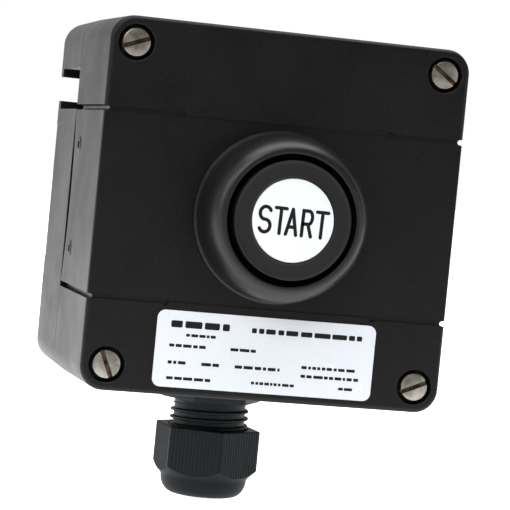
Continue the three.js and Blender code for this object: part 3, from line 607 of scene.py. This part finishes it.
def make_collar():
    seat = 0.2 - ZONE_RECESS
    shank, shank_end = 14.9, -12
    stem_hole, floor_top, floor_hole = 4.3, 0.8, 10
    profile = [
        (stem_hole, shank_end), (shank, shank_end, 0.5), (shank, seat), (17.2, seat), (17.2, 0.95),
        (20.3, 0.95), (20.3, seat), (21.5, seat, 0.15), (21.5, 0.62, 0.05), (20.95, 0.7, 0.03),
    ]
    # The guard bulges out as a quarter ellipse
    steps = 22
    crown_radius, crown_height, bulge, rise = 16.8, 3.5, 4.1, 10.7
    for step in range(steps + 1):
        angle = step / steps * math.radians(84)
        radius = crown_radius + bulge * math.cos(angle)
        profile.append((radius, crown_height + rise * math.sin(angle), 0))
    profile += [
        (16.75, COLLAR_TOP, 0.1), (COLLAR_BORE, COLLAR_TOP, 0.28), (COLLAR_BORE, floor_top, 0.3),
        (floor_hole, floor_top, 0.2), (floor_hole, -10), (stem_hole, -10),
    ]
    collar = turned("guard_collar", rounded(profile, 0.15, 4, closed=True), 192, True, BUTTON_FRAME)
    return dress(collar, GUARD, "front_cover", "button_black", "button_collar")


def make_cap():
    skirt_end, under, dish, disc_seat, disc_hole = 6, 12.7, 15.08, 14, 10.42
    profile = [
        (0, under), (13, under), (13, skirt_end), (CAP_RADIUS, skirt_end, 0.2), (CAP_RADIUS, CAP_TOP, 0.32),
        (14.1, CAP_TOP, 0.1), (13.95, dish, 0.1), (10.75, dish, 0.1), (10.6, CAP_TOP, 0.08),
        (disc_hole, CAP_TOP, 0.08), (disc_hole, disc_seat, 0.1), (0, disc_seat),
    ]
    cap = turned("press_cap", rounded(profile, 0.12, 4), 160, False, BUTTON_FRAME)
    return dress(cap, CAP, "button", "button_black", "button_cap")


def make_disc():
    low, high = reach("legend_disc")
    z0, z1 = low.z - FACE, high.z - FACE
    profile = [(0, z0), (10.2, z0, 0.05), (10.2, z1, 0.14), (0, z1)]
    disc = turned("white_disc", rounded(profile, 0.1, 4), 128, False, BUTTON_FRAME)
    return dress(disc, DISC, "button", "disc_white", "legend_disc")


def stroke(points, width, height, base, name):
    """A pen stroke of round-ended constant width along points in x and y, as a thin raised solid."""
    half = width / 2
    left, right = [], []
    count = len(points)
    for i, point in enumerate(points):
        before = points[max(i - 1, 0)]
        after = points[min(i + 1, count - 1)]
        incoming = (point - before).normalized() if i else (after - point).normalized()
        outgoing = (after - point).normalized() if i < count - 1 else incoming
        along = (incoming + outgoing).normalized()
        spread = half / max(0.4, along.dot(incoming))
        normal = Vector((-along.y, along.x))
        left.append(point + normal * spread)
        right.append(point - normal * spread)
    end_caps = []
    for centre, direction in ((points[-1], points[-1] - points[-2]), (points[0], points[0] - points[1])):
        start = math.atan2(direction.y, direction.x) + math.pi / 2
        angles = [start - math.pi * k / 8 for k in range(1, 8)]
        end_caps.append([centre + half * Vector((math.cos(a), math.sin(a))) for a in angles])
    outline = left + end_caps[0] + list(reversed(right)) + end_caps[1]
    return prism(name, [tuple(p) for p in reversed(outline)], base, base + height, BUTTON_FRAME)


def arc(cx, cy, rx, ry, first, last, steps=14):
    angles = [math.radians(first + (last - first) * i / steps) for i in range(steps + 1)]
    return [Vector((cx + rx * math.cos(a), cy + ry * math.sin(a))) for a in angles]


def letter_strokes(letter):
    """Centre lines of a plain stroke letter, one unit high and one unit wide, centred on the origin."""
    if letter == "S":
        upper = arc(0, 0.245, 0.5, 0.255, 28, 250, 18)
        lower = arc(0, -0.25, 0.5, 0.25, 70, -152, 18)
        return [upper + lower]
    if letter == "T":
        return [[Vector((-0.5, 0.5)), Vector((0.5, 0.5))], [Vector((0, 0.5)), Vector((0, -0.5))]]
    if letter == "A":
        foot, apex = Vector((0.5, -0.5)), Vector((0, 0.5))
        crossbar = [Vector((-0.34, -0.2)), Vector((0.34, -0.2))]
        return [[Vector((-foot.x, foot.y)), apex], [apex, foot], crossbar]
    bowl = [Vector((-0.5, -0.5)), Vector((-0.5, 0.5)), Vector((0.1, 0.5))]
    bowl += arc(0.1, 0.24, 0.4, 0.26, 80, -80, 12) + [Vector((0.1, -0.02)), Vector((-0.5, -0.02))]
    return [bowl, [Vector((0.08, -0.02)), Vector((0.5, -0.5))]]


# Each letter of the legend, with the place of its middle and the width between its outer strokes
LEGEND = (("S", -7.0, 2.75), ("T", -3.2, 2.7), ("A", -0.3, 2.55), ("R", 3.55, 2.3), ("T", 7.2, 2.8))


def make_legend():
    top = reach("legend_disc")[1].z - FACE
    pen, height = 0.86, 6.15
    tilt = Matrix.Rotation(math.radians(-1.2), 2)
    drop = Vector((0, -0.35))
    parts = []
    for letter, x, width in LEGEND:
        for points in letter_strokes(letter):
            line = [tilt @ Vector((x + p.x * width, p.y * height)) + drop for p in points]
            parts.append(stroke(line, pen, 0.06, top - 0.03, "legend_stroke"))
    legend = boolean(parts[0], parts[1:], "UNION")
    legend.name = "start_legend"
    finish_mesh(legend)
    return dress(legend, INK, "button", "disc_white")


def make_button_inside():
    stem_end = reach("button_stem")[0].z - FACE
    stem_profile = [
        (0, stem_end), (3.5, stem_end, 0.6), (3.5, 8, 0.1), (6.5, 8, 0.2), (6.5, 9.6, 0.2),
        (4.5, 9.6, 0.2), (4.5, 11.2, 0.2), (9, 11.2, 0.3), (9, 12.4, 0.2), (0, 12.4),
    ]
    stem = turned("press_stem", rounded(stem_profile, 0.1, 3), 64, False, BUTTON_FRAME)
    dress(stem, GLAND, "button", "gland_grey", "button_stem")
    boot_profile = [
        (12.6, 1.1), (15.8, 1.1, 0.3), (15.8, 1.9, 0.3), (13.2, 1.9, 0.6), (12.2, 3.4, 1.2), (7.8, 8.6, 0.8),
        (7.8, 9.4, 0.3), (6.8, 9.4, 0.2), (6.8, 8.2, 0.6), (11.2, 3, 1.2),
    ]
    boot = turned("button_boot", rounded(boot_profile, 0.2, 4, closed=True), 96, True, BUTTON_FRAME)
    dress(boot, RUBBER, "front_cover", "rubber_black", "sealing_boot")
    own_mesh(boot)
    low, high = reach("return_spring")
    spring = coil("button_spring", 5.3, 0.5, low.z, high.z, 6)
    dress(spring, STEEL, "front_cover", "steel", "return_spring")
    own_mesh(spring)


def coil(name, radius, wire, z0, z1, turns, steps=28, sides=10):
    """A compression spring with closed end turns."""
    vertices, faces = [], []
    total = turns * steps
    for i in range(total + 1):
        angle = 2 * math.pi * i / steps
        part = i / total
        lift = (part - math.sin(2 * math.pi * part) / (2 * math.pi)) * 0.55 + part * 0.45
        z = z0 + wire + (z1 - z0 - 2 * wire) * lift
        outward = Vector((math.cos(angle), math.sin(angle), 0))
        centre = outward * radius + Vector((0, 0, z))
        for j in range(sides):
            around = 2 * math.pi * j / sides
            level = Vector((0, 0, wire * math.sin(around)))
            vertices.append(centre + outward * wire * math.cos(around) + level)
    for i in range(total):
        for j in range(sides):
            k = (j + 1) % sides
            low, high = i * sides, (i + 1) * sides
            faces.append((low + j, low + k, high + k, high + j))
    faces.append(list(range(sides)))
    faces.append([total * sides + j for j in reversed(range(sides))])
    return new_piece(name, vertices, faces)


# ---- Rating plate --------------------------------------------------------------------------------


def make_label():
    low, high = reach("rating_label")
    centre = (low + high) / 2
    half_x, half_y = (high.x - low.x) / 2, (high.y - low.y) / 2
    outline = [(x, y + centre.y) for x, y in rounded_square(half_x, half_y, 2)]
    inner = [(x, y + centre.y) for x, y in rounded_square(half_x - 0.06, half_y - 0.06, 1.94)]
    plate = lofted("rating_plate", [(low.z, outline), (high.z - 0.05, outline), (high.z, inner)])
    dress(plate, FILM, "front_cover", "label_white", "rating_label")

    # Rows of plain bars stand in place of the printing: (left edge, right edge, height up, bar height)
    rng = random.Random(7)
    rows = (
        (-24.5, -8.5, 6.2, 1.7), (-4.0, 24.5, 6.0, 1.25), (-20.5, -13.0, 3.6, 0.7), (-24.5, -14.5, 0.9, 0.75),
        (-9.0, -2.5, 0.9, 0.75), (-24.5, -20.0, -3.3, 0.8), (-16.0, -11.5, -3.3, 0.8), (-7.5, 4.0, -3.3, 0.8),
        (9.5, 24.0, -2.2, 0.75), (9.5, 24.5, -4.4, 0.75), (-24.5, -13.0, -7.2, 0.75), (-3.0, 8.5, -7.0, 0.7),
        (19.5, 23.5, -6.9, 0.7),
    )
    bars = []
    for left, right, up, height in rows:
        x = left
        while x < right - height * 0.5:
            length = min(right - x, height * rng.uniform(0.9, 3.4))
            shape = rounded(bar(x, x + length, -height / 2, height / 2), height * 0.22, 3, closed=True)
            place = [(p.x, p.y + up + centre.y) for p in shape]
            bars.append(prism("print_bar", place, high.z - 0.01, high.z + 0.012))
            x += length + height * rng.uniform(0.35, 0.6)
    printing = bars[0]
    join_meshes(printing, bars[1:])
    printing.name = "plate_printing"
    dress(printing, INK, "front_cover", "label_white")


def join_meshes(piece, others):
    """Adds the others' faces to a piece, as separate shells of one mesh."""
    bm = bmesh.new()
    for part in (piece, *others):
        bm.from_mesh(part.data)
    bm.to_mesh(piece.data)
    bm.free()
    for part in others:
        bpy.data.objects.remove(part)
    return piece


# ---- Gland ---------------------------------------------------------------------------------------


def threaded_tube(name, bore_profile, outer, z0, z1, crest, root, pitch, space):
    """A turned body whose outer wall carries a real helical thread between z0 and z1."""
    segments, rows = 96, 20
    vertices, faces, rings = [], [], []

    def add_ring(radii, z):
        rings.append(len(vertices))
        for i in range(segments):
            angle = 2 * math.pi * i / segments
            vertices.append((radii[i] * math.cos(angle), radii[i] * math.sin(angle), z))

    for radius, z in outer[0]:
        add_ring([radius] * segments, z)
    levels = int((z1 - z0) / pitch * rows)
    for level in range(levels + 1):
        z = z0 + (z1 - z0) * level / levels
        fade = min(1.0, (z - z0) / (pitch * 0.6), (z1 - z) / (pitch * 0.6))
        radii = []
        for i in range(segments):
            phase = ((z - z0) / pitch - i / segments) % 1.0
            tooth = min(1.0, max(0.0, (0.25 - abs(phase - 0.5)) / 0.13))
            radii.append(root + (crest - root) * tooth * max(0.0, fade))
        add_ring(radii, z)
    for radius, z in outer[1] + bore_profile:
        add_ring([radius] * segments, z)
    for low, high in zip(rings, rings[1:] + rings[:1]):
        for i in range(segments):
            j = (i + 1) % segments
            faces.append((low + i, low + j, high + j, high + i))
    return new_piece(name, vertices, faces, space)


def make_gland_body():
    body = threaded_tube(
        "gland_barrel", [(8.2, GLAND_END), (8.2, 57.5), (GLAND_BORE, 56.5), (GLAND_BORE, 34)],
        (
            [(9.4, 34), (9.9, 34.5), (9.9, 47.6), (THREAD_ROOT, 51.8), (THREAD_ROOT, 53.0)],
            [(THREAD_ROOT, 66.8), (9.4, GLAND_END)],
        ),
        53.3, 66.5, THREAD_CREST, THREAD_ROOT, THREAD_PITCH, GLAND_FRAME,
    )
    flange = lofted("flange", hex_sections(24, 0, 47.4, 52.0, 13.4, 0.5), GLAND_FRAME)
    boolean(flange, [prism("cut", circle(9.0, segments=64), 40, 60, GLAND_FRAME)])
    boolean(body, [flange], "UNION")
    finish_mesh(body, 34)
    return dress(body, GLAND, "rear_housing", "gland_grey", "gland_body")


def hex_sections(flats, first, z0, z1, chamfer_radius, chamfer):
    """Hexagon sections that lose their corners to a cone at both ends."""
    full = hexagon(flats, first, 0.5, 4)

    def clipped(limit):
        out = []
        for x, y in full:
            length = math.hypot(x, y)
            scale = min(1.0, limit / length)
            out.append((x * scale, y * scale))
        return out

    ends = clipped(chamfer_radius)
    return [(z0, ends), (z0 + chamfer, full), (z1 - chamfer, full), (z1, ends)]


def ribbed_hexagon(flats, first, ribs, depth):
    """Outline of the clamping nut: a hexagon whose flats carry fine upright ribs."""
    corner = flats / math.sqrt(3)
    outline = []
    for i in range(6):
        a0 = math.radians(first + 60 * i)
        a1 = math.radians(first + 60 * (i + 1))
        start = Vector((corner * math.cos(a0), corner * math.sin(a0)))
        end = Vector((corner * math.cos(a1), corner * math.sin(a1)))
        outward = (start + end).normalized()
        steps = ribs * 6
        for step in range(steps):
            part = step / steps
            margin = min(part, 1 - part)
            wave = 0.5 - 0.5 * math.cos(2 * math.pi * part * ribs)
            inset = depth * wave * min(1.0, margin * 14)
            rounding = 0.2 * max(0.0, 1 - margin * 30) ** 2
            outline.append(tuple(start.lerp(end, part) - outward * (inset + rounding)))
    return outline


def make_gland_nut():
    low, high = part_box("gland_nut")
    top, end = -high.z / MM, -low.z / MM
    shoulder, dome_top, dome_radius, dome_end = 70.0, 72.8, 11.7, 8.0
    flats = 25.4
    corner = flats / math.sqrt(3)
    flutes = ribbed_hexagon(flats, 85.6, 15, 0.16)
    levels = [(top, scaled(flutes, 0.985)), (top + 0.25, flutes), (end + 1, flutes)]
    prism_part = lofted("nut_prism", levels, GLAND_FRAME)
    blank = [(0, top - 1), (corner + 1, top - 1), (corner + 1, shoulder - 1.0), (corner, shoulder, 0.3)]
    blank += [(dome_radius + 0.3, dome_top - 0.1, 0.15), (dome_radius, dome_top + 0.5, 0.1)]
    steps = 14
    for step in range(1, steps + 1):
        angle = step / steps * math.pi / 2
        radius = dome_end + (dome_radius - dome_end) * math.cos(angle)
        blank.append((radius, dome_top + 0.5 + (end - dome_top - 0.5) * math.sin(angle), 0))
    blank.append((0, end))
    shape = turned("clamping_nut", rounded(blank, 0.2, 3), 192, False, GLAND_FRAME)
    boolean(shape, [prism_part], "INTERSECT")
    thread_bore, mouth = 10.95, 6.5
    hollow = [
        (0, top - 1), (thread_bore, top - 1), (thread_bore, 72.6), (mouth, 74.9),
        (mouth, end - 0.5), (7, end + 1), (0, end + 1),
    ]
    boolean(shape, [turned("cut", [Vector(p) for p in hollow], 96, False, GLAND_FRAME)])
    finish_mesh(shape, 24)
    return dress(shape, GLAND, "gland_nut", "gland_grey", "gland_nut")


def scaled(outline, factor):
    return [(x * factor, y * factor) for x, y in outline]


def make_gland_inside():
    ring_nut = lofted("lock_nut", hex_sections(24, 0, 37.0, 41.7, 13.2, 0.6), GLAND_FRAME)
    boolean(ring_nut, [prism("cut", circle(10.2, segments=64), 30, 45, GLAND_FRAME)])
    dress(finish_mesh(ring_nut), GLAND, "rear_housing", "gland_grey", "gland_lock_nut")
    washer = [(10.2, 46.55), (11.6, 46.55), (11.6, 47.15), (10.2, 47.15)]
    dress(turned("flange_washer", rounded(washer, 0.15, 3, closed=True), 72, True, GLAND_FRAME),
          RUBBER, "rear_housing", "rubber_black", "gland_flange_seal")
    bushing_profile = [
        (5.2, 58), (7.2, 58, 0.3), (7.9, 59.5, 0.4), (7.9, 67.7, 0.4), (5.9, 67.7, 0.3), (5.2, 66.6, 0.3),
    ]
    bushing = turned("seal_bushing", rounded(bushing_profile, 0.3, 4, closed=True), 72, True, GLAND_FRAME)
    dress(bushing, RUBBER, "rear_housing", "rubber_black", "gland_seal")
    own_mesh(bushing)
    ring_profile = [(6.6, 68), (7.8, 68), (7.8, 71.6), (9.6, 71.6), (9.6, 72.3), (6.6, 72.3)]
    dress(turned("clamp_ring", rounded(ring_profile, 0.2, 3, closed=True), 72, True, GLAND_FRAME),
          GLAND, "gland_thrust_ring", "gland_grey", "gland_thrust_ring")


# ---- Small inner pieces --------------------------------------------------------------------------


def make_inner_pieces():
    for corner in CORNERS:
        place = screw_places[corner]
        low, high = reach("threaded_insert_" + corner)
        insert = knurled_insert(corner, place, low.z, high.z)
        dress(insert, BRASS, "rear_housing", "brass", "threaded_insert_" + corner)
        low, high = reach("screw_seal_" + corner)
        profile = rounded([(2.35, low.z), (3.75, low.z), (3.75, high.z), (2.35, high.z)], 0.3, 4, closed=True)
        seal = turned("seal_" + corner, profile, 48, True, at=(place.x, place.y))
        dress(seal, RUBBER, "front_cover", "rubber_black", "screw_seal_" + corner)
    low, high = reach("collar_gasket")
    profile = rounded([(17.5, low.z), (20, low.z), (20, high.z), (17.5, high.z)], 0.25, 4, closed=True)
    gasket = turned("collar_seal", profile, 96, True)
    dress(gasket, RUBBER, "front_cover", "rubber_black", "collar_gasket")
    refined("collar_lock_nut", 0.35, GLAND, "front_cover", "gland_grey")
    refined("contact_block_adapter", 0.25, GLAND, "front_cover", "gland_grey")
    refined("contact_block_housing", 0.2, BLOCK, "front_cover", "block_grey")
    refined("contact_block_cover", 0.25, BLOCK, "front_cover", "block_grey")
    refined("contact_plunger", 0.15, CREAM, "contact_plunger", "plunger_cream")
    for node in ("bridge_normally_open", "bridge_normally_closed"):
        refined(node, 0.12, SILVER, "contact_plunger", "contact_silver")
    for kind in ("no", "nc"):
        for level in ("upper", "lower"):
            ending = f"{kind}_{level}"
            refined("fixed_contact_" + ending, 0.1, BRASS, "front_cover", "brass")
            terminal_screw(ending)
    low, high = reach("contact_spring")
    spring = coil("plunger_spring", 2.2, 0.3, low.z, high.z, 5, 24, 8)
    dress(spring, STEEL, "front_cover", "steel", "contact_spring")
    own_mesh(spring)
    refined("earth_terminal_plate", 0.15, BRASS, "rear_housing", "brass")
    refined("earth_clamp_washer", 0.12, STEEL, "rear_housing", "steel")
    slotted_screw("earth_screw", "earth_terminal_screw", "rear_housing", 3.6, 1.75, 2.2, 1, 12)


def knurled_insert(corner, place, z0, z1):
    outline = []
    teeth = 30
    for i in range(teeth * 4):
        angle = 2 * math.pi * i / (teeth * 4)
        radius = 3.0 - (0.22 if i % 4 in (2, 3) else 0.0)
        outline.append((place.x + radius * math.cos(angle), place.y + radius * math.sin(angle)))
    body = prism("insert_" + corner, outline, z0, z1)
    bore = prism("cut", circle(2.25, place.x, place.y, 48), z0 - 1, z1 + 1)
    waist = turned("cut", [(2.7, z0 + 3.6), (3.4, z0 + 3.2), (3.4, z0 + 4.8), (2.7, z0 + 4.4)], 48, True,
                   at=(place.x, place.y))
    boolean(body, [bore, waist])
    return finish_mesh(body, 30)


def slotted_screw(name, node, body, head, shank, thickness, outward, angle):
    """A small slotted screw along z whose head faces out of the wall (1) or towards it (-1)."""
    low, high = reach(node)
    centre = middle(node)
    top, tip = (high.z, low.z) if outward > 0 else (low.z, high.z)
    under = top - outward * thickness
    profile = [(0, tip), (shank - 0.4, tip), (shank, tip + outward * 0.5)]
    z = tip + outward * 0.8
    while (under - z) * outward > 0.9:
        profile += [(shank, z), (shank - 0.25, z + outward * 0.3)]
        z += outward * 0.6
    profile += [(shank - 0.1, under - outward * 0.2), (shank, under)]
    profile += [(head, under, 0.15), (head, top, 0.4), (0, top)]
    if outward < 0:
        profile.reverse()
    screw = turned(name, rounded(profile, 0.04, 2), 48, at=(centre.x, centre.y))
    turn = Matrix.Rotation(math.radians(angle), 2)
    corners = [turn @ Vector(p) for p in bar(-head - 1, head + 1, -0.42, 0.42)]
    slot = [(p.x + centre.x, p.y + centre.y) for p in corners]
    z0, z1 = sorted((top - outward * 0.95, top + outward))
    boolean(screw, [prism("cut", slot, z0, z1)])
    return dress(finish_mesh(screw, 28), STEEL, body, "steel", node)


def terminal_screw(ending):
    turns = {"no_upper": 35, "no_lower": -12, "nc_upper": 80, "nc_lower": 5}
    name, node = "clamp_screw_" + ending, "terminal_screw_" + ending
    slotted_screw(name, node, "front_cover", 2.4, 1.6, 2.0, -1, turns[ending])


# ---- Stage, light and camera ---------------------------------------------------------------------


def make_floor():
    """A pale floor that glows under and behind the object and fades to an unlit tone in front of it."""
    level = cad_box[0].z - 0.002
    size = 6.0
    corners = [(-size, -size, level), (size, -size, level), (size, size, level), (-size, size, level)]
    mesh = bpy.data.meshes.new("floor")
    mesh.from_pydata(corners, [], [(0, 1, 2, 3)])
    floor = bpy.data.objects.new("floor", mesh)
    scene.collection.objects.link(floor)
    material, tree, shader = new_material("pale_floor", (0.86, 0.86, 0.86), 0.7, specular=0.2)
    place = tree.nodes.new("ShaderNodeTexCoord")
    split = tree.nodes.new("ShaderNodeSeparateXYZ")
    tree.links.new(place.outputs["Object"], split.inputs["Vector"])
    lit = tree.nodes.new("ShaderNodeMapRange")
    lit.interpolation_type = "SMOOTHSTEP"
    lit.inputs["From Min"].default_value = -0.32
    lit.inputs["From Max"].default_value = -0.05
    tree.links.new(split.outputs["Y"], lit.inputs["Value"])
    tree.links.new(ramp(tree, lit.outputs["Result"], [(0, 0.72), (1, 0.87)]), shader.inputs["Base Color"])
    glow = tree.nodes.new("ShaderNodeMath")
    glow.operation = "MULTIPLY"
    glow.inputs[1].default_value = 1.0
    tree.links.new(lit.outputs["Result"], glow.inputs[0])
    tree.links.new(glow.outputs["Value"], shader.inputs["Emission Strength"])
    shader.inputs["Emission Color"].default_value = (1, 1, 1, 1)
    mesh.materials.append(material)


def area_light(name, place, target, size, power):
    light = bpy.data.lights.new(name, "AREA")
    light.shape = "RECTANGLE"
    light.size, light.size_y = size
    light.energy = power
    lamp = bpy.data.objects.new(name, light)
    lamp.location = place
    lamp.rotation_euler = (Vector(target) - Vector(place)).to_track_quat("-Z", "Y").to_euler()
    lamp.visible_camera = False
    scene.collection.objects.link(lamp)
    return lamp


BOX_MIDDLE = (0, -FACE * MM / 2, 0)
# Each lamp's name, place, target, size and power
LAMPS = (
    ("top", (0.0, -0.2, 0.9), BOX_MIDDLE, (1.1, 0.8), 11.0),
    ("key_left", (-0.85, -0.5, 0.4), BOX_MIDDLE, (0.45, 0.6), 3.5),
    ("fill_right", (0.9, -0.8, -0.05), BOX_MIDDLE, (0.8, 0.6), 2.6),
    ("kicker_low_left", (-0.22, 0.1, -0.04), (-0.046, -0.04, -0.034), (0.12, 0.12), 0.1),
    ("front_high", (-0.45, -1.1, 0.75), BOX_MIDDLE, (0.5, 0.5), 6.5),
)


def make_light():
    world = bpy.data.worlds.new("studio")
    scene.world = world
    world.use_nodes = True
    tree = world.node_tree
    background = tree.nodes["Background"]
    background.inputs["Strength"].default_value = 2.3
    place = tree.nodes.new("ShaderNodeTexCoord")
    split = tree.nodes.new("ShaderNodeSeparateXYZ")
    tree.links.new(place.outputs["Generated"], split.inputs["Vector"])
    # A white sweep behind the object, and a dim room in front of it
    depth = ramp(tree, split.outputs["Y"], [(0.0, 0.02), (0.12, 0.38)])
    path = tree.nodes.new("ShaderNodeLightPath")
    mix = tree.nodes.new("ShaderNodeMixRGB")
    mix.inputs["Color2"].default_value = (0.44, 0.44, 0.44, 1)
    tree.links.new(path.outputs["Is Camera Ray"], mix.inputs["Fac"])
    tree.links.new(depth, mix.inputs["Color1"])
    tree.links.new(mix.outputs["Color"], background.inputs["Color"])
    for name, place, target, size, power in LAMPS:
        area_light(name, place, target, size, power)


def make_camera():
    """The camera stands left of the object and a little above its middle, and is rolled by a few degrees."""
    camera = bpy.data.cameras.new("camera")
    camera.sensor_width = 36.0
    camera.lens = 165.36
    tripod = bpy.data.objects.new("camera", camera)
    scene.collection.objects.link(tripod)
    right = Vector((0.96838, -0.23016, 0.09625))
    forward = Vector((0.23485, 0.97119, -0.04039))
    up = right.cross(forward)
    forward = up.cross(right)
    turn = Matrix((right.normalized(), up.normalized(), -forward.normalized())).transposed()
    place = Vector((-0.1412, -0.5632 - FACE * MM, 0.01375))
    tripod.matrix_world = Matrix.LocRotScale(place, turn.to_quaternion(), None)
    camera.clip_start, camera.clip_end = 0.01, 50
    scene.camera = tripod


make_camera()
make_cover()
make_housing()
make_gasket()
for corner_name in CORNERS:
    make_screw(corner_name)
make_collar()
make_cap()
make_disc()
make_legend()
make_button_inside()
make_label()
make_gland_body()
make_gland_nut()
make_gland_inside()
make_inner_pieces()
make_floor()
make_light()
scene.view_settings.view_transform = "Standard"
scene.view_settings.look = "None"
